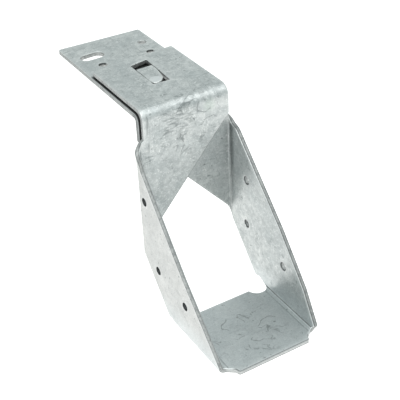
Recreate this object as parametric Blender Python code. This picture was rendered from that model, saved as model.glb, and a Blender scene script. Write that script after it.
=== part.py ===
"""One-piece joist hanger that hangs over the top of a wall, folded from galvanised steel strip.

The strip runs: upper top flange, front back plate, left leg, joist seat, right leg, rear back
plate, lower top flange.  Its two ends overlap on top of the wall, where a tongue lanced out of
the lower flange comes up through a window in the upper one and locks the loop shut.

Frame: +X to the right, +Y into the wall, +Z up, metres.  The origin is on the underside of the
lower flange, which lies on the wall top, at mid-width and on the line of the two fixing holes.
Flat panels and the bends between them are separate sub-parts, split where each bend begins.
"Forward" is measured from the front back plate's front face, "down" from the upper flange's top.
"""
import math

import bmesh
import bpy
from mathutils import Matrix, Vector

# ---- driving dimensions -------------------------------------------------------------------
SHEET = 0.00275           # sheet thickness
LAYER_GAP = 0.0010        # air between the two overlapping layers
SPLIT = 0.0003            # gap left between neighbouring sub-parts
JOIST_WIDTH = 0.0600      # clear width between the legs
SEAT_DROP = 0.1145        # wall top down to the seat's upper face
STRIP_WIDTH = 0.0549      # width of the flanges and of the back plates' upper parts
FRONT_STRIP_X = 0.0005    # middle of the front strip, across the width
REAR_STRIP_X = -0.0005    # middle of the rear strip

FLANGE_BEARING = 0.0991   # wall face to the lower flange's rear edge, at mid-width
LOWER_EDGE_SLOPE = -0.033     # how far that edge runs out of square
UPPER_FLANGE_DEPTH = 0.0619   # front face to the upper flange's rear edge, at mid-width
UPPER_EDGE_SLOPE = 0.075
HOLE_LINE_FROM_WALL = 0.0792  # wall face to the line of the fixing holes

UPPER_BEND = 0.0041       # inner radii of the bends
LOWER_BEND = 0.0016
FOLD_BEND = 0.0015        # both upright folds and both seat bends
BEND_STEPS = 10           # straight facets in each quarter turn

# Back plates: drop from their own flange's top to where the free side turns diagonal, and to
# the plate's lower corner where the fold with the leg begins
FRONT_PLATE = (0.0173, 0.0821)
REAR_PLATE = (0.0168, 0.0799)
FLARE_DROP = 0.0175       # upper flange top to where the strip widens towards the leg
FLARE_END_DROP = 0.0185   # the same, where the fold begins
SHOULDER_DROP = 0.0224    # the same, at the middle of the fold

# Leg outlines, forward and down, from the fold along the front edge and back along the rear one
LEFT_LEG = ((0.0015, 0.0245), (0.0041, 0.0337), (0.0449, 0.0822), (0.0807, 0.1195),
            (0.0261, 0.1195), (0.0015, 0.0908))
RIGHT_LEG = ((-0.00225, 0.0258), (0.0030, 0.0277), (0.0467, 0.0724), (0.0700, 0.1005),
             (0.0811, 0.1195), (0.0216, 0.1195), (-0.00225, 0.0924))

SEAT_FRONT = 0.0862       # forward to the seat's front edge
SEAT_REAR = 0.0323        # forward to the seat's rear edge
SEAT_SHOULDER = 0.0835    # forward to the small step beside the front edge
SEAT_BEND_FRONT = 0.0805  # forward to the front end of the seat where the bends begin
SEAT_FRONT_HALF = 0.0232  # half the length of the seat's straight front edge
SEAT_STEP_HALF = 0.0241   # half the width of the seat at that small step
RELIEF_RADIUS = 0.0062    # round relief at each rear corner of the seat
RELIEF_X = 0.0247
RELIEF_FORWARD = 0.0312

NAIL_RADIUS = 0.0025
LEFT_NAILS = ((0.0057, 0.0522), (0.0167, 0.0935), (0.0459, 0.0996))    # forward, down
RIGHT_NAILS = ((0.0134, 0.0568), (0.0131, 0.0878), (0.0508, 0.0958))
SLOT_CENTRE = (-0.0148, 0.0000)
SLOT_LENGTH = 0.0148
SLOT_WIDTH = 0.0079
ROUND_HOLE = (0.0195, 0.0006)
REAR_HOLES = ((-0.0146, -0.0140), (0.0175, -0.0145))

WINDOW_X = (-0.0055, 0.0058)       # window in the upper flange
WINDOW_FRONT = 0.0258              # from the front face back to its front and rear ends
WINDOW_REAR = 0.0541
TONGUE_SIDE_PLAY = 0.0005
TONGUE_TIP_PLAY = 0.0010
TONGUE_PROUD = 0.0004              # tip stands above the upper flange
TONGUE_ROOT = 0.0030               # level length at the tongue's root
TONGUE_RAMP_END = 0.0450           # from the front face, where the tongue has risen

# ---- derived places -----------------------------------------------------------------------
STACK = SHEET + LAYER_GAP
HALF_IN = JOIST_WIDTH / 2
HALF_OUT = HALF_IN + SHEET
FOLD_X = HALF_IN - FOLD_BEND               # where plates and seat meet their bends
FOLD_OUTER = FOLD_BEND + SHEET
WALL_FACE = -HOLE_LINE_FROM_WALL
REAR_Y = WALL_FACE - SHEET                 # front face of the rear back plate
FRONT_Y = REAR_Y - STACK                   # front face of the front back plate
LOWER_TOP = SHEET
UPPER_TOP = LOWER_TOP + STACK
SEAT_TOP = -SEAT_DROP
SEAT_TANGENT_Z = SEAT_TOP + FOLD_BEND

ZINC = {
    "seat": (0.50, 0.53, 0.54),
    "leg": (0.62, 0.64, 0.64),
    "back": (0.55, 0.57, 0.58),
    "flange": (0.58, 0.61, 0.62),
    "bend": (0.66, 0.68, 0.69),
    "tongue": (0.70, 0.73, 0.73),
}


# ---- helpers ------------------------------------------------------------------------------
def clear_scene():
    for item in list(bpy.data.objects):
        bpy.data.objects.remove(item, do_unlink=True)


def collection(name):
    group = bpy.data.collections.new(name)
    bpy.context.scene.collection.children.link(group)
    return group


def zinc(name, colour):
    material = bpy.data.materials.new(name)
    material.use_nodes = True
    shader = material.node_tree.nodes["Principled BSDF"]
    shader.inputs["Base Color"].default_value = (*colour, 1.0)
    shader.inputs["Metallic"].default_value = 0.9
    shader.inputs["Roughness"].default_value = 0.45
    return material


def plane(x_axis, y_axis, origin):
    """Matrix whose local X and Y lie along the given world directions."""
    x_axis = Vector(x_axis)
    y_axis = Vector(y_axis)
    turn = Matrix((x_axis, y_axis, x_axis.cross(y_axis))).transposed()
    return Matrix.Translation(origin) @ turn.to_4x4()


def level(z):
    return plane((1, 0, 0), (0, 1, 0), (0, 0, z))


def facing_wall(y):
    return plane((1, 0, 0), (0, 0, 1), (0, y, 0))


def facing_side(x):
    return plane((0, 1, 0), (0, 0, 1), (x, 0, 0))


def arc(centre, radius, start, end, steps):
    """Points on an arc, angles in degrees."""
    points = []
    for step in range(steps + 1):
        angle = math.radians(start + (end - start) * step / steps)
        points.append((centre[0] + radius * math.cos(angle), centre[1] + radius * math.sin(angle)))
    return points


def circle(centre, radius, steps=24):
    return arc(centre, radius, 0, 360, steps)[:-1]


def stadium(centre, length, width):
    reach = (length - width) / 2
    right = arc((centre[0] + reach, centre[1]), width / 2, -90, 90, 10)
    left = arc((centre[0] - reach, centre[1]), width / 2, 90, 270, 10)
    return right + left


def prism(name, outlines, matrix, depth, group, material=None):
    """A flat outline, with any holes, extruded equally to both sides of its own plane."""
    curve = bpy.data.curves.new(name, "CURVE")
    curve.dimensions = "2D"
    curve.fill_mode = "BOTH"
    curve.extrude = depth / 2
    for outline in outlines:
        spline = curve.splines.new("POLY")
        spline.points.add(len(outline) - 1)
        for point, (x, y) in zip(spline.points, outline):
            point.co = (x, y, 0.0, 1.0)
        spline.use_cyclic_u = True
    drawn = bpy.data.objects.new(name + "_outline", curve)
    group.objects.link(drawn)
    bpy.context.view_layer.update()
    evaluated = drawn.evaluated_get(bpy.context.evaluated_depsgraph_get())
    mesh = bpy.data.meshes.new_from_object(evaluated)
    bpy.data.objects.remove(drawn, do_unlink=True)
    mesh.name = name
    work = bmesh.new()
    work.from_mesh(mesh)
    bmesh.ops.remove_doubles(work, verts=work.verts, dist=1e-6)
    bmesh.ops.recalc_face_normals(work, faces=work.faces)
    work.to_mesh(mesh)
    work.free()
    solid = bpy.data.objects.new(name, mesh)
    solid.matrix_world = matrix
    group.objects.link(solid)
    if material:
        mesh.materials.clear()
        mesh.materials.append(material)
    return solid


def cut(target, outline, name, matrix, depth, cutters, operation="DIFFERENCE"):
    tool = prism(name, [outline], matrix, depth, cutters)
    tool.hide_render = True
    tool.display_type = "WIRE"
    modifier = target.modifiers.new(name, "BOOLEAN")
    modifier.operation = operation
    modifier.solver = "EXACT"
    modifier.object = tool


def quarter_band(centre, inner, start):
    """Section of a bend: a quarter ring of sheet, starting at the given angle."""
    inside = arc(centre, inner, start, start + 90, BEND_STEPS)
    outside = arc(centre, inner + SHEET, start + 90, start, BEND_STEPS)
    return inside + outside


def round_shading(solid):
    solid.data.shade_smooth()
    solid.data.set_sharp_from_angle(angle=math.radians(30))


# ---- the folded strip ---------------------------------------------------------------------
def flange(name, middle_x, top, start, rear, slope, openings, parts, metal):
    left, right = middle_x - STRIP_WIDTH / 2, middle_x + STRIP_WIDTH / 2
    outline = [(left, start), (right, start), (right, rear + slope * right), (left, rear + slope * left)]
    prism(name, [outline] + openings, level(top - SHEET / 2), SHEET, parts, metal["flange"])


def build_flanges(parts, metal):
    front, rear = FRONT_Y + WINDOW_FRONT, FRONT_Y + WINDOW_REAR
    window = [(WINDOW_X[0], front), (WINDOW_X[1], front), (WINDOW_X[1], rear), (WINDOW_X[0], rear)]
    start = FRONT_Y + SHEET + UPPER_BEND + SPLIT
    flange("upper_flange", FRONT_STRIP_X, UPPER_TOP, start, FRONT_Y + UPPER_FLANGE_DEPTH,
           UPPER_EDGE_SLOPE, [window], parts, metal)
    openings = [window, stadium(SLOT_CENTRE, SLOT_LENGTH, SLOT_WIDTH), circle(ROUND_HOLE, NAIL_RADIUS)]
    openings += [circle(centre, NAIL_RADIUS) for centre in REAR_HOLES]
    flange("lower_flange", REAR_STRIP_X, LOWER_TOP, WALL_FACE + LOWER_BEND + SPLIT,
           WALL_FACE + FLANGE_BEARING, LOWER_EDGE_SLOPE, openings, parts, metal)


def build_tongue(parts, cutters, metal):
    """Lanced strip: it leaves the lower flange at the window's rear and ends on top, at the front."""
    root = FRONT_Y + WINDOW_REAR - SPLIT
    tip = FRONT_Y + WINDOW_FRONT + TONGUE_TIP_PLAY
    high = UPPER_TOP + TONGUE_PROUD - SHEET
    underside = [(root, 0.0), (root - TONGUE_ROOT, 0.0), (FRONT_Y + TONGUE_RAMP_END, high), (tip, high)]
    topside = [(y, z + SHEET) for y, z in reversed(underside)]
    width = WINDOW_X[1] - WINDOW_X[0] - 2 * TONGUE_SIDE_PLAY
    middle = (WINDOW_X[0] + WINDOW_X[1]) / 2
    tongue = prism("locking_tongue", [underside + topside], facing_side(middle), width, parts,
                   metal["tongue"])
    behind = 2 * root - tip
    plan = [(middle - width, behind), (middle - width / 2, tip + width / 2)]
    plan += arc((middle, tip + width / 2), width / 2, 180, 360, 16)[1:]
    plan += [(middle + width, behind)]
    cut(tongue, plan, "tongue_plan", level(0.0), 4 * UPPER_TOP, cutters, "INTERSECT")


def build_top_bends(parts, metal):
    for name, y, z, inner, middle_x in (
        ("upper_top_bend", FRONT_Y + SHEET, UPPER_TOP - SHEET, UPPER_BEND, FRONT_STRIP_X),
        ("lower_top_bend", WALL_FACE, 0.0, LOWER_BEND, REAR_STRIP_X),
    ):
        section = quarter_band((y + inner, z - inner), inner, 90)
        round_shading(prism(name, [section], facing_side(middle_x), STRIP_WIDTH, parts, metal["bend"]))


def back_plate(name, side, face, flange_top, strip_x, bend, drops, parts, metal):
    """side is -1 where the plate folds into the left leg and +1 for the right leg."""
    free = strip_x - side * STRIP_WIDTH / 2
    edge = strip_x + side * STRIP_WIDTH / 2
    fold = side * (FOLD_X - SPLIT)
    top = flange_top - SHEET - bend - SPLIT
    outline = [
        (fold, flange_top - drops[1]),
        (free, flange_top - drops[0]),
        (free, top),
        (edge, top),
        (edge, UPPER_TOP - FLARE_DROP),
        (fold, UPPER_TOP - FLARE_END_DROP),
    ]
    prism(name, [outline], facing_wall(face + SHEET / 2), SHEET, parts, metal["back"])


def back_bend(name, side, face, flange_top, drops, outline, parts, cutters, metal):
    """Upright fold between a back plate and its leg, with both ends cut to slanting lines.

    The cutters are drawn on the plane through the fold's two outer edges: first coordinate from
    the plate (0) to the leg (the chord), second along Z.
    """
    top, foot = UPPER_TOP - FLARE_END_DROP, flange_top - drops[1]
    leg_top, leg_foot = UPPER_TOP - outline[0][1], UPPER_TOP - outline[-1][1]
    length = top - leg_foot + 2 * FOLD_OUTER
    section = quarter_band((side * FOLD_X, face - FOLD_BEND), FOLD_BEND, 0 if side > 0 else 90)
    bend = prism(name, [section], level((top + leg_foot) / 2), length, parts, metal["bend"])
    chord = FOLD_OUTER * math.sqrt(2)
    far = length / 2
    over = [(-chord, top), (0, top), (chord / 2, UPPER_TOP - SHOULDER_DROP), (chord, leg_top)]
    over += [(2 * chord, leg_top), (2 * chord, top + far), (-chord, top + far)]
    under = [(-chord, foot), (0, foot), (chord, leg_foot), (2 * chord, leg_foot)]
    under += [(2 * chord, leg_foot - far), (-chord, leg_foot - far)]
    across = Vector((side, -1, 0)).normalized()
    matrix = plane(across, (0, 0, 1), (side * FOLD_X, face + SHEET, 0))
    cut(bend, over, name + "_top", matrix, 4 * FOLD_OUTER, cutters)
    cut(bend, under, name + "_foot", matrix, 4 * FOLD_OUTER, cutters)
    round_shading(bend)


def leg(name, side, face, corners, nails, parts, metal):
    """Side plate, drawn looking along -X: first coordinate along Y, second along Z."""
    fold = face - FOLD_BEND - SPLIT
    foot = SEAT_TANGENT_Z + SPLIT
    outline = [(min(FRONT_Y - forward, fold), max(UPPER_TOP - down, foot)) for forward, down in corners]
    holes = [circle((FRONT_Y - forward, UPPER_TOP - down), NAIL_RADIUS) for forward, down in nails]
    middle = side * (HALF_IN + SHEET / 2)
    prism(name, [outline] + holes, facing_side(middle), SHEET, parts, metal["leg"])


def build_seat(parts, cutters, metal):
    half = FOLD_X - SPLIT
    front, shoulder = FRONT_Y - SEAT_FRONT, FRONT_Y - SEAT_SHOULDER
    rear, relief_y = FRONT_Y - SEAT_REAR, FRONT_Y - RELIEF_FORWARD
    bend_front = FRONT_Y - SEAT_BEND_FRONT
    across, along = half - RELIEF_X, rear - relief_y
    leaves = math.degrees(math.atan2(-math.sqrt(RELIEF_RADIUS ** 2 - across ** 2), across))
    meets = math.degrees(math.atan2(along, -math.sqrt(RELIEF_RADIUS ** 2 - along ** 2)))
    right = [(SEAT_FRONT_HALF, front), (SEAT_STEP_HALF, shoulder), (half, bend_front)]
    right += arc((RELIEF_X, relief_y), RELIEF_RADIUS, leaves, meets, 12)
    left = [(-x, y) for x, y in reversed(right)]
    prism("seat_plate", [right + left], level(SEAT_TOP - SHEET / 2), SHEET, parts, metal["seat"])

    for name, side, corners in (("left_seat_bend", -1, LEFT_LEG), ("right_seat_bend", 1, RIGHT_LEG)):
        leg_rear = FRONT_Y - corners[-2][0]
        leg_front = FRONT_Y - corners[-3][0]
        section = quarter_band((side * FOLD_X, SEAT_TANGENT_Z), FOLD_BEND, 270 if side > 0 else 180)
        bend = prism(name, [section], facing_wall((leg_front + leg_rear) / 2), leg_rear - leg_front,
                     parts, metal["bend"])
        relief = circle((side * RELIEF_X, relief_y), RELIEF_RADIUS, 32)
        cut(bend, relief, name + "_relief", level(SEAT_TOP), 6 * FOLD_OUTER, cutters)
        near, over = side * FOLD_X, side * (FOLD_X + 2 * FOLD_OUTER)
        stretch = (leg_front - bend_front) * 2
        slant = [(near - side * FOLD_OUTER, bend_front), (near, bend_front), (over, bend_front + stretch),
                 (over, bend_front - 4 * FOLD_OUTER), (near - side * FOLD_OUTER, bend_front - 4 * FOLD_OUTER)]
        cut(bend, slant, name + "_front", level(SEAT_TOP), 6 * FOLD_OUTER, cutters)
        round_shading(bend)


def main():
    clear_scene()
    parts = collection("joist_hanger")
    cutters = collection("cutters")
    metal = {name: zinc("zinc_" + name, colour) for name, colour in ZINC.items()}

    build_flanges(parts, metal)
    build_tongue(parts, cutters, metal)
    build_top_bends(parts, metal)
    back_plate("front_back_plate", -1, FRONT_Y, UPPER_TOP, FRONT_STRIP_X, UPPER_BEND, FRONT_PLATE,
               parts, metal)
    back_plate("rear_back_plate", 1, REAR_Y, LOWER_TOP, REAR_STRIP_X, LOWER_BEND, REAR_PLATE,
               parts, metal)
    back_bend("left_back_bend", -1, FRONT_Y, UPPER_TOP, FRONT_PLATE, LEFT_LEG, parts, cutters, metal)
    back_bend("right_back_bend", 1, REAR_Y, LOWER_TOP, REAR_PLATE, RIGHT_LEG, parts, cutters, metal)
    leg("left_leg", -1, FRONT_Y, LEFT_LEG, LEFT_NAILS, parts, metal)
    leg("right_leg", 1, REAR_Y, RIGHT_LEG, RIGHT_NAILS, parts, metal)
    build_seat(parts, cutters, metal)


main()
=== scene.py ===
import math

import bmesh
import bpy
from mathutils import Matrix, Vector, geometry, kdtree, noise


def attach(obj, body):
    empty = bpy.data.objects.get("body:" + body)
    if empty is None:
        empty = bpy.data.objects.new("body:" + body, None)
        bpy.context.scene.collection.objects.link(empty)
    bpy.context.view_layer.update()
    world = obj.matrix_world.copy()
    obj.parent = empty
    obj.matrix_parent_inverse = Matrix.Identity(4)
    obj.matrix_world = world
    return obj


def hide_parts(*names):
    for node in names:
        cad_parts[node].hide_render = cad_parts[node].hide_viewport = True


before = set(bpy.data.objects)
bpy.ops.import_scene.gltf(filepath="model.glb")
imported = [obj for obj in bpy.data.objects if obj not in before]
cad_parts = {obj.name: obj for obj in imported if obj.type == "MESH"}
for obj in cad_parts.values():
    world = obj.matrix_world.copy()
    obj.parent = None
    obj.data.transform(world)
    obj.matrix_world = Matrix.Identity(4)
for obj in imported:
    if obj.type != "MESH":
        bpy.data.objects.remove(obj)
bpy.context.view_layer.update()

MM = 0.001

# ---------------------------------------------------------------------------------------------
# The strip, in millimetres.  The visual model is made the way the real hanger is: one flat blank
# is drawn, its cut edges get a rolled-over side and a burr, and then it is folded.
# Side -1 is the left arm, which ends in the upper flange; side 1 is the right arm, which ends in
# the lower one.
# ---------------------------------------------------------------------------------------------
T = 2.75                        # sheet thickness
GAP = 1.0                       # between the two layers
HALF_IN = 30.0                  # half the clear width between the legs
FRONT_Y = -85.7                 # front of the front back plate
REAR_Y = FRONT_Y + T + GAP      # front of the rear back plate
UPPER_TOP = 2 * T + GAP
LOWER_TOP = T
FOLD_R = 1.5                    # inside radius of the folds at the seat and the back plates
UPPER_R = 4.1                   # inside radii of the bends over the wall edge
LOWER_R = 1.6
SEAT_Z = -114.5                 # top of the seat
NEUTRAL = FOLD_R + T / 2        # a fold's radius at mid-thickness
FOLD_L = NEUTRAL * math.pi / 2  # its length on the blank
A0 = HALF_IN - FOLD_R           # half the width of the flat seat
ZC = SEAT_Z + FOLD_R            # where a leg begins
STRIP_W = 54.9                  # width of the flanges

UPPER_REACH, UPPER_SKEW = 61.9, 0.075   # front face to the rear edge, and that edge's slope
LOWER_REACH, LOWER_SKEW = 99.1, -0.033  # the same, from the wall face
ARMS = {
    -1: dict(face=FRONT_Y, top=UPPER_TOP, bend=UPPER_R, strip=0.5, side_drop=17.3, foot_drop=82.1,
             rear=FRONT_Y + UPPER_REACH, skew=UPPER_SKEW),
    1: dict(face=REAR_Y, top=LOWER_TOP, bend=LOWER_R, strip=-0.5, side_drop=16.8, foot_drop=79.9,
            rear=REAR_Y + T + LOWER_REACH, skew=LOWER_SKEW),
}
for arm in ARMS.values():
    arm["yt"] = arm["face"] - FOLD_R            # where the leg's fold to the back plate begins
    arm["zt"] = arm["top"] - T - arm["bend"]    # where the bend over the wall edge begins
    arm["rn"] = arm["bend"] + T / 2
    arm["lt"] = arm["rn"] * math.pi / 2
    arm["yc"] = arm["face"] + T + arm["bend"]

SEAT_CORNER = (     # half width, distance in front of the front face, corner radius
    (23.2, 86.2, 1.2), (24.1, 83.5, 0.8), (A0, 80.1, 1.5), (A0 + 2.4, 79.7, 2.0),
)
LEG_EDGE = {        # forward of the front face, down from the top, corner radius
    -1: ((80.7, 119.5, 1.1), (44.9, 82.2, 6.0), (4.1, 33.7, 5.0), (1.5, 24.5, 2.5)),
    1: ((81.1, 119.5, 1.1), (70.0, 100.5, 6.0), (46.7, 72.4, 6.0), (3.0, 27.7, 5.0),
        (-2.25, 25.8, 2.5)),
}
LEG_REAR = {-1: ((1.5, 90.8), (26.1, 119.5)), 1: ((-2.25, 92.4), (21.6, 119.5))}
SHOULDER = (22.3, 18.5, 17.5)   # down from the top: middle of the fold, its end, the flange's side
RELIEF_X, RELIEF_Y, RELIEF_R = 24.7, 31.2, 6.2
RELIEF_SIDE = 33.3              # where the relief runs up into the leg
NAIL_R = 2.5
NAILS = {           # forward of the front face, down from the top
    -1: ((5.7, 52.2), (16.7, 93.5), (45.9, 99.6)),
    1: ((13.4, 56.8), (13.1, 87.8), (50.8, 95.8)),
}
FLANGE_HOLES = ((19.5, 0.6), (-14.6, -14.0), (17.5, -14.5))
SLOT_X, SLOT_HALF = -14.8, 3.3
SLOT_ENDS = ((1, 0.4, 4.25), (-1, 0.2, 4.15))   # end, y of its centre, radius
# Window and lance: x, and distance back from the front face
ROOT = 54.1                     # where the tongue begins
TONGUE_LEFT, TONGUE_TIP = -5.5, 25.9
WINDOW_OUTLINE = ((-5.45, 25.9), (4.9, 25.5), (6.3, 56.0), (-5.35, 53.8))
LANCE_OUTLINE = ((-5.5, 25.8), (1.0, 25.9), (3.7, 29.3), (4.9, 34.5), (5.7, 42.0), (5.8, ROOT))
TONGUE_OUTLINE = ((5.3, ROOT), (5.2, 42.0), (4.3, 34.5), (3.1, 30.0), (0.6, 27.0), (-2.4, 26.1),
                  (-4.7, 27.2), (-5.38, 31.0), (-5.42, ROOT))
TONGUE_RISE = T + GAP + 0.4
TONGUE_RAMP = 7.4               # length over which it rises
TONGUE_STEP = 0.95              # spacing of the cross cuts along it
NODES = ("seat_plate", "left_seat_bend", "right_seat_bend", "left_leg", "right_leg",
         "left_back_bend", "right_back_bend", "front_back_plate", "rear_back_plate",
         "upper_top_bend", "lower_top_bend", "upper_flange", "lower_flange", "locking_tongue")


def clamped(value):
    return min(1.0, max(0.0, value))


# ---- where a point of the folded hanger lies on the flat blank, and the other way round ------
def on_arm(side, z):
    return side * (A0 + FOLD_L + (z - ZC))


def leg_point(side, forward, down):
    return (on_arm(side, UPPER_TOP - down), FRONT_Y - forward)


def plate_point(side, x, z):
    return (on_arm(side, z), ARMS[side]["yt"] + FOLD_L + (A0 - side * x))


def flange_point(side, x, y):
    arm = ARMS[side]
    return plate_point(side, x, arm["zt"] + arm["lt"] + (y - arm["yc"]))


def side_of(x):
    return 1 if x > 0 else -1


def folded_x(side, y):
    """x of a back plate's or flange's point."""
    return side * (A0 - (y - ARMS[side]["yt"] - FOLD_L))


def folded_z(x):
    """z of a leg's or back plate's point, running on past the bend over the wall edge."""
    return ZC + abs(x) - A0 - FOLD_L


# ---- outline and holes ----------------------------------------------------------------------
def arc(cx, cy, r, a0, a1, n):
    step = (a1 - a0) / n
    angles = [math.radians(a0 + step * i) for i in range(n + 1)]
    return [(cx + r * math.cos(a), cy + r * math.sin(a)) for a in angles]


def arm_outline(side):
    """Half of the blank's outline, from the seat's front corner round the arm to the rear relief:
    points with corner radii."""
    arm = ARMS[side]
    edge = arm["strip"] + side * STRIP_W / 2
    free = arm["strip"] - side * STRIP_W / 2
    middle, end, strip = (UPPER_TOP - drop for drop in SHOULDER)
    pts = [((side * x, FRONT_Y - forward), r) for x, forward, r in SEAT_CORNER]
    pts += [(leg_point(side, forward, down), r) for forward, down, r in LEG_EDGE[side]]
    pts += [
        (plate_point(side, side * (A0 + FOLD_L * 0.5), middle), 4.0),
        (plate_point(side, side * A0, end), 1.2),
        (plate_point(side, edge, strip), 1.2),
        (flange_point(side, edge, arm["rear"] + arm["skew"] * edge), 1.5),
        (flange_point(side, free, arm["rear"] + arm["skew"] * free), 1.5),
        (plate_point(side, free, arm["top"] - arm["side_drop"]), 1.6),
        (plate_point(side, side * A0, arm["top"] - arm["foot_drop"]), 9.0),
    ]
    first, last = LEG_REAR[side]
    foot = leg_point(side, *last)
    pts.append((leg_point(side, *first), 4.0))
    pts.append(((foot[0] - side * 0.9, foot[1] - 0.8), 1.5))
    pts.append(((side * RELIEF_SIDE, max(foot[1] - 5.2, FRONT_Y - 29.7)), 4.0))
    relief = arc(RELIEF_X, FRONT_Y - RELIEF_Y, RELIEF_R, -4, -170, 24)
    return pts + [((side * x, y), 0.0) for x, y in relief]


def rounded(points):
    """Corners replaced by curves of the given radii; 0 keeps the point."""
    out = []
    count = len(points)
    for i in range(count):
        (p, r), a, b = points[i], Vector(points[i - 1][0]), Vector(points[(i + 1) % count][0])
        p = Vector(p)
        u, v = a - p, b - p
        reach = min(u.length, v.length) * 0.48
        u.normalize()
        v.normalize()
        angle = u.angle(v) if r > 0.0 else math.pi
        if angle > math.radians(178.5):
            out.append(tuple(p))
            continue
        back = min(r / math.tan(angle / 2), reach)
        start, end = p + u * back, p + v * back
        n = max(3, int(math.degrees(math.pi - angle) / 12))
        for k in range(n + 1):
            t = k / n
            out.append(tuple(start * (1 - t) ** 2 + p * 2 * t * (1 - t) + end * t ** 2))
    return out


def resampled(loop, step):
    out = []
    for i in range(len(loop)):
        a, b = Vector(loop[i]), Vector(loop[(i + 1) % len(loop)])
        n = max(1, int((b - a).length / step))
        out += [tuple(a.lerp(b, k / n)) for k in range(n)]
    return out


def holes():
    centres = [leg_point(side, *nail) for side in (-1, 1) for nail in NAILS[side]]
    centres += [flange_point(1, x, y) for x, y in FLANGE_HOLES]
    found = [arc(cx, cy, NAIL_R, 0, 360, 40)[:-1] for cx, cy in centres]
    slot = []
    for end, y, r in SLOT_ENDS:
        slot += arc(SLOT_X + end * SLOT_HALF, y, r, -90 * end, 180 - 90 * end, 20)
    found.append([flange_point(1, x, y) for x, y in slot])
    window = [((x, FRONT_Y + y), 0.5) for x, y in WINDOW_OUTLINE]
    found.append(resampled([flange_point(-1, x, y) for x, y in rounded(window)], 2.0))
    lance = [((x, FRONT_Y + y), 0.0) for x, y in ((TONGUE_LEFT, ROOT),) + LANCE_OUTLINE]
    lance += [((x, FRONT_Y + y), 2.5 if y < ROOT else 0.0) for x, y in TONGUE_OUTLINE]
    found.append(resampled([flange_point(1, x, y) for x, y in rounded(lance)], 1.2))
    return found


# ---- the cut edge: rolled over on the face side, a thin burr on the other --------------------
PROFILE = (         # inset from the outline, height through the sheet
    (0.16, -T / 2), (0.05, -T / 2 - 0.035), (0.0, -T / 2 + 0.05), (0.03, -T / 2 + 0.9),
    (0.0, T / 2 - 1.0), (0.015, T / 2 - 0.62), (0.07, T / 2 - 0.38), (0.17, T / 2 - 0.2),
    (0.33, T / 2 - 0.085), (0.56, T / 2 - 0.025), (0.85, T / 2),
)
CUT_FROM, CUT_TO = 2, 5         # the rows of the profile that are bare steel
NEAREST = 0.02                  # closer points of an outline are left out


def area(loop):
    return sum(a[0] * b[1] - b[0] * a[1] for a, b in zip(loop, loop[1:] + loop[:1])) / 2


def spaced(loop):
    out = []
    for p in loop:
        if not out or (Vector(p) - Vector(out[-1])).length > NEAREST:
            out.append(p)
    if (Vector(out[0]) - Vector(out[-1])).length < NEAREST:
        out.pop()
    return out


def inset(loop, distance):
    """The loop moved to its left: inwards for the outline, away from the opening for a hole."""
    out = []
    n = len(loop)
    for i in range(n):
        p = Vector(loop[i])
        u = (p - Vector(loop[i - 1])).normalized()
        v = (Vector(loop[(i + 1) % n]) - p).normalized()
        nu, nv = Vector((-u.y, u.x)), Vector((-v.y, v.x))
        m = (nu + nv).normalized()
        out.append(tuple(p + m * (distance / max(0.5, m.dot(nu)))))
    return out


def flat_blank():
    """The blank as a closed mesh, and its loops.  Face layer "bare" is 1 on cut steel."""
    outline = arm_outline(1) + arm_outline(-1)[::-1]
    loops = [resampled(spaced(rounded(outline)), 3.0)] + holes()
    bm = bmesh.new()
    bare = bm.faces.layers.int.new("bare")
    rims = {0: [], len(PROFILE) - 1: []}
    for k, loop in enumerate(loops):
        loop = spaced(loop)
        if (area(loop) > 0) != (k == 0):
            loop.reverse()
        rings = [[bm.verts.new((x, y, h)) for x, y in inset(loop, d)] for d, h in PROFILE]
        n = len(loop)
        for j, (low, high) in enumerate(zip(rings, rings[1:])):
            for i in range(n):
                f = bm.faces.new((low[i], low[(i + 1) % n], high[(i + 1) % n], high[i]))
                f[bare] = int(CUT_FROM <= j < CUT_TO)
        for level, edges in rims.items():
            ring = rings[level]
            edges += [bm.edges.get((ring[i], ring[(i + 1) % n])) for i in range(n)]
    for level, edges in rims.items():
        done = bmesh.ops.triangle_fill(bm, use_beauty=True, use_dissolve=False, edges=edges)
        for f in done["geom"]:
            if isinstance(f, bmesh.types.BMFace):
                f.normal_update()
                if (f.normal.z < 0) == (level > 0):
                    f.normal_flip()
    return bm, loops


# ---- cross cuts, so that the flat blank can follow its folds ---------------------------------
GROOVE_X = 26.9                 # the pressed groove beside the seat's folds
GROOVE_CUTS = (25.9, 26.3, 26.6, 26.9, 27.2, 27.5, 28.0)
BESIDE_FOLD = (-3.6, -2.6, -1.7, -0.8, FOLD_L + 0.8)
TONGUE_CUTS = 32
GRID = 4                        # spacing of the cuts over the rest of the sheet


def slice_at(bm, axis, value, keep=None):
    """Cut the sheet along one line; keep(face centre) limits it to part of the sheet."""
    normal = Vector((1, 0, 0)) if axis == 0 else Vector((0, 1, 0))
    geom = bm.verts[:] + bm.edges[:] + bm.faces[:]
    if keep:
        faces = [f for f in bm.faces if keep(f.calc_center_bounds())
                 and min(v.co[axis] for v in f.verts) < value < max(v.co[axis] for v in f.verts)]
        edges = {e for f in faces for e in f.edges}
        verts = {v for f in faces for v in f.verts}
        geom = list(verts) + list(edges) + faces
    if geom:
        bmesh.ops.bisect_plane(bm, geom=geom, dist=1e-4, plane_co=normal * value, plane_no=normal)


def spread(a, b, n):
    return [a + (b - a) * i / n for i in range(n + 1)]


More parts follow.
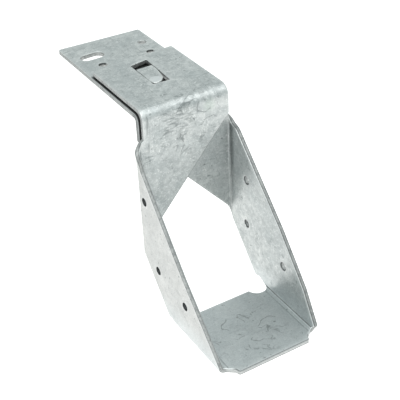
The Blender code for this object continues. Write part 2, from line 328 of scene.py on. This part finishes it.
def slice_blank(bm):
    limit = A0 + FOLD_L
    for x in spread(A0, limit, 12) + list(GROOVE_CUTS):
        for side in (-1, 1):
            slice_at(bm, 0, side * x)
    for side, arm in ARMS.items():
        mine = lambda c, s=side: c.x * s > limit
        beside = [arm["yt"] + d for d in BESIDE_FOLD]
        for y in spread(arm["yt"], arm["yt"] + FOLD_L, 12) + beside:
            slice_at(bm, 1, y, mine)
        plate = lambda c, s=side, y=arm["yt"] + FOLD_L: c.x * s > limit and c.y > y
        for z in spread(arm["zt"], arm["zt"] + arm["lt"], 14):
            slice_at(bm, 0, on_arm(side, z), plate)
    flange = on_arm(1, ARMS[1]["zt"] + ARMS[1]["lt"])
    near = lambda c: c.x > flange
    root = flange_point(1, 0, FRONT_Y + ROOT)[0]
    for k in range(TONGUE_CUTS):
        slice_at(bm, 0, root - k * TONGUE_STEP, near)
    for x in (-2.5, 0.2, 2.9):
        slice_at(bm, 1, flange_point(1, x, 0)[1], near)
    for v in range(-240, 241, GRID):
        slice_at(bm, 0, v + 0.37)
    for v in range(-176, 20, GRID):
        slice_at(bm, 1, v + 0.41)


# ---- the nodes and the folding --------------------------------------------------------------
def on_tongue(px, along):
    """Whether a point of the lower flange, measured back from the front face, is on the tongue."""
    if not TONGUE_TIP - 0.2 < along < ROOT - TONGUE_STEP or px < TONGUE_LEFT - 0.2:
        return False
    edge = LANCE_OUTLINE[1:]
    for (xa, ya), (xb, yb) in zip(edge, edge[1:]):
        if along <= yb:
            return px < xa + (xb - xa) * (along - ya) / (yb - ya) - 0.15
    return False


def where(x, y):
    """The node that a point of the blank belongs to."""
    side = side_of(x)
    hand, layer, level = ("right", "rear", "lower") if side > 0 else ("left", "front", "upper")
    arm = ARMS[side]
    if abs(x) < A0:
        return "seat_plate"
    if abs(x) < A0 + FOLD_L:
        return hand + "_seat_bend"
    if y < arm["yt"]:
        return hand + "_leg"
    if y < arm["yt"] + FOLD_L:
        return hand + "_back_bend"
    z = folded_z(x)
    if z < arm["zt"]:
        return layer + "_back_plate"
    if z < arm["zt"] + arm["lt"]:
        return level + "_top_bend"
    along = z - arm["zt"] - arm["lt"] + arm["yc"] - FRONT_Y
    if side > 0 and on_tongue(folded_x(side, y), along):
        return "locking_tongue"
    return level + "_flange"


def wave(x, y):
    """Slight unevenness of rolled and folded sheet."""
    p = Vector((x, y, 0.0))
    return 0.055 * noise.noise(p / 34.0) + 0.022 * noise.noise(p / 11.0 + Vector((7, 3, 1)))


def groove(x):
    """Depth of the pressed groove, below the seat's top."""
    width, depth = 0.75, 0.16
    return -depth * max(0.0, 1.0 - ((abs(x) - GROOVE_X) / width) ** 2) ** 2


def shoulder_bulge(side, y, z):
    """The left shoulder stands out a little where the strip widens into the leg."""
    if side > 0:
        return 0.0
    return 0.75 * math.exp(-((z + 18.0) / 5.0) ** 2 - ((y + 87.2) / 5.0) ** 2)


def raised_tongue(px, py, h):
    """The tongue climbs through the window, then lies flat with a worn, drooping tip."""
    s = FRONT_Y + ROOT - py
    t = clamped((s - 1.0) / TONGUE_RAMP)
    rise = TONGUE_RISE * t * t * (3 - 2 * t)
    slope = TONGUE_RISE * 6 * t * (1 - t) / TONGUE_RAMP
    tip = clamped((s - 15.0) / 6.0)
    off = (px - 0.15) / 5.15
    rise -= tip * (0.28 * off * off + 0.25 * max(0.0, (s - 22.0) / 7.0) ** 2)
    rise += tip * 0.14 * (noise.noise(Vector((px, py, 0)) / 2.6) - 0.4)
    level = ARMS[1]["top"] - T / 2
    return Vector((px, py, level + rise)) + Vector((0, slope, 1)).normalized() * h


def folded(co, node):
    """The place of a blank's point on the hanger."""
    x, y, h = co
    side = side_of(x)
    arm = ARMS[side]
    h += wave(x, y)
    if node == "seat_plate":
        if h > 0:
            h += groove(x)
        return Vector((x, y, SEAT_Z - T / 2 + h))
    if node.endswith("seat_bend"):
        t = (abs(x) - A0) / NEUTRAL
        r = NEUTRAL - h
        return Vector((side * (A0 + r * math.sin(t)), y, ZC - r * math.cos(t)))
    z = folded_z(x)
    bulge = shoulder_bulge(side, y, z)
    if node.endswith("_leg"):
        return Vector((side * (HALF_IN + T / 2 - h + bulge), y, z))
    if node.endswith("back_bend"):
        t = (y - arm["yt"]) / NEUTRAL
        r = NEUTRAL - h
        return Vector((side * (A0 + r * math.cos(t) + bulge), arm["yt"] + r * math.sin(t), z))
    px = folded_x(side, y)
    if node.endswith("back_plate"):
        return Vector((px, arm["face"] + T / 2 - h, z))
    if node.endswith("top_bend"):
        t = (z - arm["zt"]) / arm["rn"]
        r = arm["rn"] + h
        return Vector((px, arm["yc"] - r * math.cos(t), arm["zt"] + r * math.sin(t)))
    py = arm["yc"] + z - arm["zt"] - arm["lt"]
    if node == "locking_tongue":
        return raised_tongue(px, py, h)
    return Vector((px, py, arm["top"] - T / 2 + h))


# ---- what the materials need to know about a point: three marks from 0 to 1, painting highlight, shade and dark lines ---
def under_cover(x, y, h):
    """Painted shade: 1 where a face looks into the narrow gap between the two layers or at the
    tongue's root, 0 in the open.
    """
    side = side_of(x)
    arm = ARMS[side]
    if h * side < 0 or y < arm["yt"] + FOLD_L:
        return 0.0
    px = folded_x(side, y)
    z = folded_z(x)
    climb = z - arm["zt"]
    depth = 27.95 - abs(px)
    if climb < 0:
        slant, start, width = 0.66, -28.0, 56.5     # the back plates' sloping lower edges
        for hand, layer in ARMS.items():
            high, low = layer["top"] - layer["side_drop"], layer["top"] - layer["foot_drop"]
            run = (px * hand - start) / width
            depth = min(depth, slant * (z - high - (low - high) * run))
    elif climb > arm["lt"]:
        along = arm["yc"] + climb - arm["lt"] - FRONT_Y
        if side > 0 and on_tongue(px, along):
            # the tongue's root, low in its window, gets painted shade too
            depth = min(depth, 8.0 - (ROOT - along))
        else:
            depth = min(depth, UPPER_REACH + UPPER_SKEW * px - along)
    return clamped(depth / 0.45)


EDGE_LINES = (      # height through the sheet, half width, darkness of a line along a cut edge
    (T / 2 - 0.62, 0.2, 0.95), (T / 2 - 1.0, 0.1, 0.55),
    (0.9 - T / 2, 0.1, 0.25), (0.05 - T / 2, 0.02, 0.75),
)
ROLL_FROM, ROLL_TO = T / 2 - 0.42, T / 2 - 0.05     # the rolled-over side
SIDE_X = 26.0                   # beyond this, a flange's point is on its side edge
SEAT_LINE_X = 30.7              # line of painted shade in the seat's folds
DARKEST = 0.92


def line_weight(side, px, climb, bent):
    """How strongly the lines of a cut edge show."""
    if not bent:
        return 1.0
    bend_end = ARMS[side]["lt"]
    if side > 0 and climb > bend_end and TONGUE_LEFT - 0.3 < px < 0:
        return 0.0
    if abs(px) > SIDE_X and -60 < climb < bend_end:
        return 0.3 if side < 0 else 1.0
    if side < 0 and climb > bend_end and abs(px) < 7:
        return 0.0 if px < 0 else 0.6
    return 0.35 if side < 0 else 0.5


def cut_tone(side, x, px, h, bent):
    level = 0.0
    for height, width, dark in EDGE_LINES:
        if abs(h - height) < width:
            level = dark
    if abs(x) < A0:
        level = 0.35 * level if h > 0 else (0.6 if h < 0.2 - T / 2 else 0.1)
    elif side < 0 and not bent:
        level *= 0.75
    if side > 0 and bent and px < -SIDE_X:
        level = max(level, 0.5)
    return level


def roll_tone(x, y, px, climb, bent):
    if abs(x) < A0 - 4.0 and y < -160:
        return 0.75
    lower_edge = bent and climb < 0 and not (abs(px) > SIDE_X and climb > -60)
    return 0.55 if lower_edge else 0.0


def crease_shade(side, x, y, climb):
    """Painted shade in the folds at the seat and beside the right back plate, and in the seat's
    groove.
    """
    reach = abs(x)
    fold = y - ARMS[side]["yt"]
    half = FOLD_L * 0.5
    if reach > A0 + FOLD_L and side > 0:
        crease = 0.42 * max(0.0, 1.0 - abs(fold - half) / half) ** 0.5
        if fold < half:
            high = clamped((climb + 62.0) / 25.0)
            crease = max(crease, 0.62 * high * max(0.0, 1.0 - (abs(fold + 0.4) / 3.0) ** 2))
        return crease
    return (max(0.0, 1.5 - abs(reach - SEAT_LINE_X) / 0.5)
            + 0.35 * max(0.0, 1.0 - abs(reach - GROOVE_X) / 0.5))


def sheet_tone(x, y, h):
    """How dark the steel is painted: lines along the cut edges with paler bands between, and
    painted shade in the creases.
    """
    side = side_of(x)
    arm = ARMS[side]
    bent = y > arm["yt"] + FOLD_L
    climb = folded_z(x) - arm["zt"]
    px = folded_x(side, y)
    if h < ROLL_FROM:
        return cut_tone(side, x, px, h, bent) * line_weight(side, px, climb, bent)
    if h < ROLL_TO:
        return roll_tone(x, y, px, climb, bent)
    return min(DARKEST, crease_shade(side, x, y, climb))


def hole_shade(co):
    """Painted shade in the holes: the left leg's nail holes are dark all through, the others have
    dark rims; None away from a hole.
    """
    for nail in NAILS[-1]:
        if (co.xy - Vector(leg_point(-1, *nail))).length < NAIL_R + 0.1 and co.z < T / 2 - 0.3:
            return 0.95
    for nail in (NAILS[1][0], NAILS[1][2]):
        if (co.xy - Vector(leg_point(1, *nail))).length < NAIL_R + 0.5:
            return 0.85 if T / 2 - 0.65 < co.z < T / 2 - 0.15 else 0.0
    for k, (x, y) in enumerate(FLANGE_HOLES):
        away = co.xy - Vector(flange_point(1, x, y))
        if away.length > NAIL_R + 0.9:
            continue
        if k == 0:
            return 0.35 if T / 2 - 0.3 < co.z < T / 2 - 0.05 else 0.0
        behind = away.x / away.length > 0.45 and away.length < NAIL_R + 0.25
        return 0.95 if behind and T / 2 - 1.05 < co.z < T / 2 - 0.15 else 0.0
    return None


# ---- building -------------------------------------------------------------------------------
MERGE = 0.015                   # points closer than this become one
EDGE_FADE = 2.2                 # how far in from a cut edge the painted highlight reaches
SHARP = math.radians(38)


def build_strip():
    """The folded strip: its mesh, each face's node and whether it is bare, each point's marks."""
    bm, loops = flat_blank()
    slice_blank(bm)
    bmesh.ops.remove_doubles(bm, verts=bm.verts, dist=MERGE)
    bm.faces.index_update()
    layer = bm.faces.layers.int["bare"]
    home = [where(*f.calc_center_median().xy) for f in bm.faces]
    bare = [f[layer] for f in bm.faces]
    rim = [p for loop in loops for p in resampled(loop, 0.6)]
    tree = kdtree.KDTree(len(rim))
    for i, (x, y) in enumerate(rim):
        tree.insert((x, y, 0), i)
    tree.balance()
    marks, moved = [], []
    for v in bm.verts:
        away = tree.find((v.co.x, v.co.y, 0))[2]
        tone = hole_shade(v.co)
        if tone is None:
            tone = sheet_tone(*v.co)
        marks.append((max(0.0, 1.0 - away / EDGE_FADE), under_cover(*v.co), tone, 1.0))
        node = min({home[f.index] for f in v.link_faces}, key=NODES.index)
        moved.append(folded(v.co, node) * MM)
    for v, co in zip(bm.verts, moved):
        v.co = co
    mesh = bpy.data.meshes.new("strip")
    bm.to_mesh(mesh)
    bm.free()
    mesh.shade_smooth()
    mesh.set_sharp_from_angle(angle=SHARP)
    return mesh, home, bare, marks


def open_rings(faces):
    """The borders of a set of faces, wound so that a face on them looks outwards."""
    used = {pair for f in faces for pair in zip(f, f[1:] + f[:1])}
    ahead = {b: a for f in faces for a, b in zip(f, f[1:] + f[:1]) if (b, a) not in used}
    rings = []
    while ahead:
        start, following = next(iter(ahead.items()))
        ring = [start]
        del ahead[start]
        while following != start and following in ahead:
            ring.append(following)
            following = ahead.pop(following)
        if len(ring) > 2:
            rings.append(ring)
    return rings


def cap(ring, points):
    """Triangles over a ring of point numbers, and their normal."""
    count = len(ring)
    normal = Vector((0, 0, 0))
    for a, b in zip(points, points[1:] + points[:1]):
        normal += a.cross(b)
    normal.normalize()
    turn = normal.to_track_quat("Z", "Y").to_matrix().inverted()
    flat = [(turn @ p).xy * (1 / MM) for p in points]
    border = [(i, (i + 1) % count) for i in range(count)]
    filled = geometry.delaunay_2d_cdt(flat, border, [list(range(count))], 1, 1e-6)
    corners, triangles = filled[0], filled[2]
    if len(corners) != count:       # the ring touches itself
        return [ring], normal
    return [[ring[i] for i in triangle] for triangle in triangles], normal


def split(mesh, home, bare, marks, materials):
    """One closed piece for each CAD node, shaded as one sheet."""
    normals = [tuple(c.vector) for c in mesh.corner_normals]
    for node in NODES:
        index, verts, faces, corner, slots, paint = {}, [], [], [], [], []
        for poly in mesh.polygons:
            if home[poly.index] != node:
                continue
            for v in poly.vertices:
                if v not in index:
                    index[v] = len(verts)
                    verts.append(tuple(mesh.vertices[v].co))
                    paint += marks[v]
            faces.append([index[v] for v in poly.vertices])
            corner += [normals[i] for i in poly.loop_indices]
            slots.append(bare[poly.index])
        for ring in open_rings(faces):
            closing, normal = cap(ring, [Vector(verts[i]) for i in ring])
            for face in closing:
                faces.append(face)
                slots.append(1)
                corner += [tuple(normal)] * len(face)
        data = bpy.data.meshes.new(node)
        data.from_pydata(verts, [], faces)
        for material in materials:
            data.materials.append(material)
        for poly, slot in zip(data.polygons, slots):
            poly.material_index = slot
            poly.use_smooth = True
        data.normals_split_custom_set(corner)
        layer = data.color_attributes.new("marks", "FLOAT_COLOR", "POINT")
        layer.data.foreach_set("color", paint)
        piece = bpy.data.objects.new("steel_" + node, data)
        bpy.context.scene.collection.objects.link(piece)
        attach(piece, "root")
        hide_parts(node)


# ---------------------------------------------------------------------------------------------
# Materials
# ---------------------------------------------------------------------------------------------
ZINC_SHADE = (0.43, 0.46, 0.46, 1)
ZINC_LIGHT = (0.61, 0.625, 0.615, 1)
MOTTLED = (0.395, 0.42, 0.42, 1)
GRAIN = (0.68, 0.70, 0.69, 1)
FLAKED = (0.78, 0.79, 0.78, 1)
VEIN = (0.31, 0.335, 0.335, 1)
SCRATCH = (0.24, 0.265, 0.265, 1)
RUBBED = (0.22, 0.24, 0.24, 1)
DRAGGED = (0.20, 0.23, 0.23, 1)
GREENISH = (0.44, 0.52, 0.46, 1)
OUTER_LEG = (0.585, 0.57, 0.555, 1)
SEAT_PAINTED_LIGHT = (0.66, 0.70, 0.71, 1)
CURLED = (0.13, 0.145, 0.145, 1)
PIT = (0.30, 0.33, 0.33, 1)
GLINT = (0.80, 0.82, 0.81, 1)
SPECK = (0.16, 0.18, 0.18, 1)
POLISH_AND_HIGHLIGHT = (0.72, 0.74, 0.74, 1)
EDGE_HIGHLIGHT = (0.72, 0.73, 0.72, 1)
DARK_LINE_AND_SHADE = (0.10, 0.11, 0.11, 1)
PAINTED_GAP_SHADE = (0.012, 0.013, 0.013, 1)
STEEL_SHADE = (0.30, 0.31, 0.31, 1)
STEEL_MIDDLE = (0.50, 0.51, 0.50, 1)
STEEL_LIGHT = (0.55, 0.56, 0.55, 1)
STEEL_LINE_AND_SHADE = (0.06, 0.065, 0.065, 1)


def material_named(name):
    mat = bpy.data.materials.new(name)
    mat.use_nodes = True
    tree = mat.node_tree
    tree.nodes.clear()
    out = tree.nodes.new("ShaderNodeOutputMaterial")
    bsdf = tree.nodes.new("ShaderNodeBsdfPrincipled")
    tree.links.new(bsdf.outputs["BSDF"], out.inputs["Surface"])
    return mat, tree, bsdf


def put(tree, value, socket):
    """Links an output, or sets a constant."""
    if hasattr(value, "is_output"):
        tree.links.new(value, socket)
    else:
        socket.default_value = value


def add(tree, kind, **inputs):
    node = tree.nodes.new(kind)
    for key, value in inputs.items():
        put(tree, value, node.inputs[key])
    return node


def math_node(tree, op, a, b=None, clamp=False):
    node = tree.nodes.new("ShaderNodeMath")
    node.operation = op
    node.use_clamp = clamp
    put(tree, a, node.inputs[0])
    if b is not None:
        put(tree, b, node.inputs[1])
    return node.outputs[0]


def times(tree, a, b):
    return math_node(tree, "MULTIPLY", a, b)


def plus(tree, a, b):
    return math_node(tree, "ADD", a, b)


def off_by(tree, a, b):
    return math_node(tree, "ABSOLUTE", math_node(tree, "SUBTRACT", a, b))


def ramp(tree, value, low, high, a=0.0, b=1.0):
    node = tree.nodes.new("ShaderNodeMapRange")
    tree.links.new(value, node.inputs["Value"])
    node.inputs["From Min"].default_value = low
    node.inputs["From Max"].default_value = high
    node.inputs["To Min"].default_value = a
    node.inputs["To Max"].default_value = b
    return node.outputs["Result"]


def mixed(tree, factor, a, b):
    node = tree.nodes.new("ShaderNodeMix")
    node.data_type = "RGBA"
    colours = [s for s in node.inputs if s.type == "RGBA"]
    put(tree, factor, [s for s in node.inputs if s.name == "Factor" and s.type == "VALUE"][0])
    put(tree, a, colours[0])
    put(tree, b, colours[1])
    return [s for s in node.outputs if s.type == "RGBA"][0]


def object_place(tree):
    """Object coordinates as a vector, and as separate x, y and z outputs."""
    coords = tree.nodes.new("ShaderNodeTexCoord").outputs["Object"]
    return coords, add(tree, "ShaderNodeSeparateXYZ", Vector=coords).outputs


def painted_marks(tree):
    """The three marks painted on the pieces: near a cut edge (painted highlight), painted shade in
    the gap, and dark lines with painted shade.
    """
    mark = tree.nodes.new("ShaderNodeAttribute")
    mark.attribute_name = "marks"
    return add(tree, "ShaderNodeSeparateColor", Color=mark.outputs["Color"]).outputs


def clouds(tree, coords, scale, detail, **more):
    node = add(tree, "ShaderNodeTexNoise", Vector=coords, Scale=scale, Detail=detail, **more)
    return node.outputs["Fac"]


def strokes(tree, coords, stretch, turn, low, high):
    """Streaks of noise drawn out along one direction."""
    long = add(tree, "ShaderNodeMapping", Vector=coords, Scale=stretch, Rotation=turn)
    return ramp(tree, clouds(tree, long.outputs["Vector"], 1.0, 3.0), low, high)


def spot(tree, coords, centre, radius, core=0.35):
    """1 inside a soft ball round a point of the hanger, 0 outside it; millimetres."""
    node = tree.nodes.new("ShaderNodeVectorMath")
    node.operation = "DISTANCE"
    tree.links.new(coords, node.inputs[0])
    node.inputs[1].default_value = [c * MM for c in centre]
    return ramp(tree, node.outputs["Value"], radius * MM, radius * core * MM)


def bumped(tree, bsdf, height, strength, distance):
    bump = add(tree, "ShaderNodeBump", Height=height, Strength=strength, Distance=distance)
    tree.links.new(bump.outputs["Normal"], bsdf.inputs["Normal"])


def zinc_grain(tree, coords):
    """Two random values for each crystal of the zinc, with wandering borders."""
    warp = add(tree, "ShaderNodeTexNoise", Vector=coords, Scale=160.0, Detail=2.0)
    moved = tree.nodes.new("ShaderNodeMix")
    moved.data_type = "VECTOR"
    moved.inputs[0].default_value = 0.012
    tree.links.new(coords, moved.inputs[4])
    tree.links.new(warp.outputs["Color"], moved.inputs[5])
    grain = add(tree, "ShaderNodeTexVoronoi", Vector=moved.outputs[1], Scale=260.0)
    cell = add(tree, "ShaderNodeSeparateColor", Color=grain.outputs["Color"])
    return cell.outputs[0], cell.outputs[1]


def straight_scratches(tree, coords):
    """Three directions of fine scratches, in patches."""
    lines = strokes(tree, coords, (110, 1700, 800), (0.2, 0.5, 0.4), 0.60, 0.69)
    across = strokes(tree, coords, (1500, 95, 300), (0.6, 0.1, 0.9), 0.61, 0.70)
    slant = strokes(tree, coords, (140, 900, 1900), (0.0, 0.15, -0.2), 0.62, 0.71)
    lines = plus(tree, plus(tree, lines, across), slant)
    patch = ramp(tree, clouds(tree, coords, 75.0, 2.0), 0.46, 0.60)
    return math_node(tree, "MULTIPLY", lines, patch, True)


def curled_scratches(tree, coords):
    """Broken curved lines, strongest on the seat and the front plate."""
    path = clouds(tree, coords, 95.0, 2.5, Roughness=0.45, Distortion=0.6)
    broken = ramp(tree, clouds(tree, coords, 130.0, 2.0), 0.45, 0.53)
    curl = times(tree, ramp(tree, off_by(tree, path, 0.52), 0.026, 0.010), broken)
    worn = plus(tree, spot(tree, coords, (-2, -146, -114.5), 26, 0.6),
                spot(tree, coords, (2, -85.7, -8), 24, 0.6))
    return times(tree, curl, plus(tree, worn, 0.15))


def border_rub(tree, coords, place):
    """Dark rubbing down the left border of the front plate."""
    x, y, z = place
    rub = times(tree, ramp(tree, off_by(tree, x, -24.3 * MM), 1.3 * MM, 0.3 * MM),
                strokes(tree, coords, (900, 400, 170), (0, 0, 0), 0.46, 0.60))
    rub = times(tree, rub, ramp(tree, y, -84.5 * MM, -85.2 * MM))
    return times(tree, rub, ramp(tree, z, -34 * MM, -20 * MM))


def zinc():
    mat, tree, bsdf = material_named("galvanised_zinc")
    coords, place = object_place(tree)
    near_edge, gap_shade, tone = painted_marks(tree)
    mottle = clouds(tree, coords, 260.0, 5.0, Roughness=0.62)
    fine = clouds(tree, coords, 1100.0, 3.0, Roughness=0.6)
    flake = ramp(tree, clouds(tree, coords, 330.0, 3.0, Distortion=2.2), 0.57, 0.66)
    vein = clouds(tree, coords, 165.0, 3.0, Distortion=1.6)
    vein = ramp(tree, off_by(tree, vein, 0.5), 0.03, 0.0)
    crystal, crystal_rough = zinc_grain(tree, coords)
    lines = straight_scratches(tree, coords)
    rubbed = times(tree, strokes(tree, coords, (230, 700, 900), (0.0, 0.32, 0.0), 0.46, 0.60),
                   spot(tree, coords, (-5, -85.7, -4), 15))
    dragged = times(tree, strokes(tree, coords, (190, 760, 300), (0.0, 0.0, 0.5), 0.585, 0.64),
                    spot(tree, coords, (-3, -143, -114.5), 24))
    speck = clouds(tree, coords, 420.0, 2.0)
    cloud = clouds(tree, coords, 55.0, 3.0, Roughness=0.55)
    base = mixed(tree, ramp(tree, cloud, 0.36, 0.64), ZINC_SHADE, ZINC_LIGHT)
    for amount, colour in (
        (ramp(tree, mottle, 0.40, 0.60, 0.0, 0.75), MOTTLED),
        (times(tree, crystal, 0.24), GRAIN),
        (times(tree, flake, 0.5), FLAKED),
        (times(tree, vein, 0.42), VEIN),
        (times(tree, lines, 0.55), SCRATCH),
        (times(tree, rubbed, 0.75), RUBBED),
        (times(tree, dragged, 0.5), DRAGGED),
        (times(tree, spot(tree, coords, (15, -85.9, -2), 5), 0.35), GREENISH),
        (ramp(tree, place[0], -32.3 * MM, -32.7 * MM, 0.0, 0.55), OUTER_LEG),
        # painted light: the seat is made paler, as if a lamp lit it more
        (ramp(tree, place[2], -100 * MM, -113 * MM, 0.0, 0.55), SEAT_PAINTED_LIGHT),
        (times(tree, curled_scratches(tree, coords), 0.46), CURLED),
        (times(tree, border_rub(tree, coords, place), 0.8), RUBBED),
        (ramp(tree, fine, 0.36, 0.46, 0.20, 0.0), PIT),
        (ramp(tree, fine, 0.56, 0.68, 0.0, 0.30), GLINT),
        (ramp(tree, speck, 0.68, 0.74, 0.0, 0.7), SPECK),
        # painted highlight on the tongue's tip, which is also hammered bright
        (times(tree, spot(tree, coords, (-2.0, -56.6, 7.0), 4.6, 0.75), 0.75), POLISH_AND_HIGHLIGHT),
        # painted highlight along the cut edges
        (times(tree, near_edge, 0.35), EDGE_HIGHLIGHT),
        # dark lines along the cut edges, and painted shade in the folds and holes
        (tone, DARK_LINE_AND_SHADE),
        # painted shade in the gap between the layers and at the tongue's root
        (times(tree, gap_shade, 0.93), PAINTED_GAP_SHADE),
    ):
        base = mixed(tree, amount, base, colour)
    tree.links.new(base, bsdf.inputs["Base Color"])
    bsdf.inputs["Metallic"].default_value = 0.82
    rough = plus(tree, ramp(tree, mottle, 0.3, 0.7, 0.27, 0.40), times(tree, crystal_rough, 0.08))
    rough = plus(tree, rough, times(tree, lines, 0.15))
    rough = math_node(tree, "ADD", rough, times(tree, gap_shade, 0.4), True)
    tree.links.new(rough, bsdf.inputs["Roughness"])
    height = plus(tree, times(tree, mottle, 0.6), times(tree, fine, 0.12))
    height = plus(tree, height, times(tree, lines, -0.25))
    height = plus(tree, height, times(tree, vein, -0.10))
    bumped(tree, bsdf, height, 0.45, 0.0003)
    return mat


def cut_steel():
    mat, tree, bsdf = material_named("cut_edge")
    coords, place = object_place(tree)
    streak = clouds(tree, coords, 650.0, 3.0)
    broad = clouds(tree, coords, 140.0, 2.0)
    seat_front = times(tree, ramp(tree, place[2], -112 * MM, -114 * MM),
                       ramp(tree, place[1], -160 * MM, -168 * MM, 0.0, 0.4))
    base = mixed(tree, ramp(tree, streak, 0.38, 0.62), STEEL_SHADE, STEEL_MIDDLE)
    base = mixed(tree, ramp(tree, broad, 0.45, 0.7, 0.0, 0.6), base, STEEL_LIGHT)
    # the seat's front cut face is painted paler
    base = mixed(tree, seat_front, base, POLISH_AND_HIGHLIGHT)
    # dark lines on the cut faces, and painted shade on the walls of the holes
    base = mixed(tree, painted_marks(tree)[2], base, STEEL_LINE_AND_SHADE)
    tree.links.new(base, bsdf.inputs["Base Color"])
    bsdf.inputs["Metallic"].default_value = 0.75
    bsdf.inputs["Roughness"].default_value = 0.48
    bumped(tree, bsdf, streak, 0.5, 0.00012)
    return mat


# ---------------------------------------------------------------------------------------------
# Floor, light and camera; metres and radians
# ---------------------------------------------------------------------------------------------
WORLD_COLOUR, WORLD_STRENGTH = (0.925, 1.0, 0.995, 1), 0.84
FLOOR_HALF, FLOOR_Z = 6.0, -0.45
FLOOR_COLOUR, FLOOR_GLOW = (0.93, 0.90, 0.89, 1), 0.36
LAMPS = (           # name, place, size, power
    ("key", (-0.9, -1.0, 1.5), 1.9, 15.0),
    ("top", (0.5, -0.9, 1.6), 1.6, 9.0),
)
LAMP_TARGET = Vector((0, -0.08, -0.05))
AZIMUTH, ELEVATION, ROLL = 0.5228, 0.5953, -0.0445
CAMERA_TARGET = Vector((6.61, -85.7, -62.8)) * MM
CAMERA_DISTANCE = 0.5586
LENS, SHIFT = 85.65, 0.00125


def studio():
    bpy.context.scene.view_settings.view_transform = "Standard"
    world = bpy.data.worlds.new("studio")
    world.use_nodes = True
    background = world.node_tree.nodes["Background"]
    background.inputs["Color"].default_value = WORLD_COLOUR
    background.inputs["Strength"].default_value = WORLD_STRENGTH
    bpy.context.scene.world = world
    mesh = bpy.data.meshes.new("floor")
    r = FLOOR_HALF
    mesh.from_pydata([(-r, -r, 0), (r, -r, 0), (r, r, 0), (-r, r, 0)], [], [(0, 1, 2, 3)])
    floor = bpy.data.objects.new("floor", mesh)
    floor.location = (0, 0, FLOOR_Z)
    bpy.context.scene.collection.objects.link(floor)
    mat, _, bsdf = material_named("pale_floor")
    bsdf.inputs["Base Color"].default_value = FLOOR_COLOUR
    bsdf.inputs["Roughness"].default_value = 0.9
    bsdf.inputs["Emission Color"].default_value = (1.0, 1.0, 1.0, 1)
    bsdf.inputs["Emission Strength"].default_value = FLOOR_GLOW
    mesh.materials.append(mat)
    for name, place, size, power in LAMPS:
        data = bpy.data.lights.new(name, "AREA")
        data.size = size
        data.energy = power
        lamp = bpy.data.objects.new(name, data)
        lamp.location = place
        lamp.rotation_euler = (LAMP_TARGET - Vector(place)).to_track_quat("-Z", "Y").to_euler()
        bpy.context.scene.collection.objects.link(lamp)


def camera():
    forward = Vector((math.sin(AZIMUTH) * math.cos(ELEVATION),
                      math.cos(AZIMUTH) * math.cos(ELEVATION), -math.sin(ELEVATION)))
    right = Vector((math.cos(AZIMUTH), -math.sin(AZIMUTH), 0))
    up = right.cross(forward)
    rolled_right = right * math.cos(ROLL) + up * math.sin(ROLL)
    rolled_up = up * math.cos(ROLL) - right * math.sin(ROLL)
    data = bpy.data.cameras.new("camera")
    data.sensor_width = 36.0
    data.lens = LENS
    data.shift_x = -SHIFT
    data.shift_y = SHIFT
    data.clip_end = 50.0
    cam = bpy.data.objects.new("camera", data)
    bpy.context.scene.collection.objects.link(cam)
    turn = Matrix((rolled_right, rolled_up, -forward)).transposed().to_4x4()
    cam.matrix_world = Matrix.Translation(CAMERA_TARGET - forward * CAMERA_DISTANCE) @ turn
    bpy.context.scene.camera = cam


strip, homes, bare_faces, strip_marks = build_strip()
split(strip, homes, bare_faces, strip_marks, [zinc(), cut_steel()])
bpy.data.meshes.remove(strip)
studio()
camera()
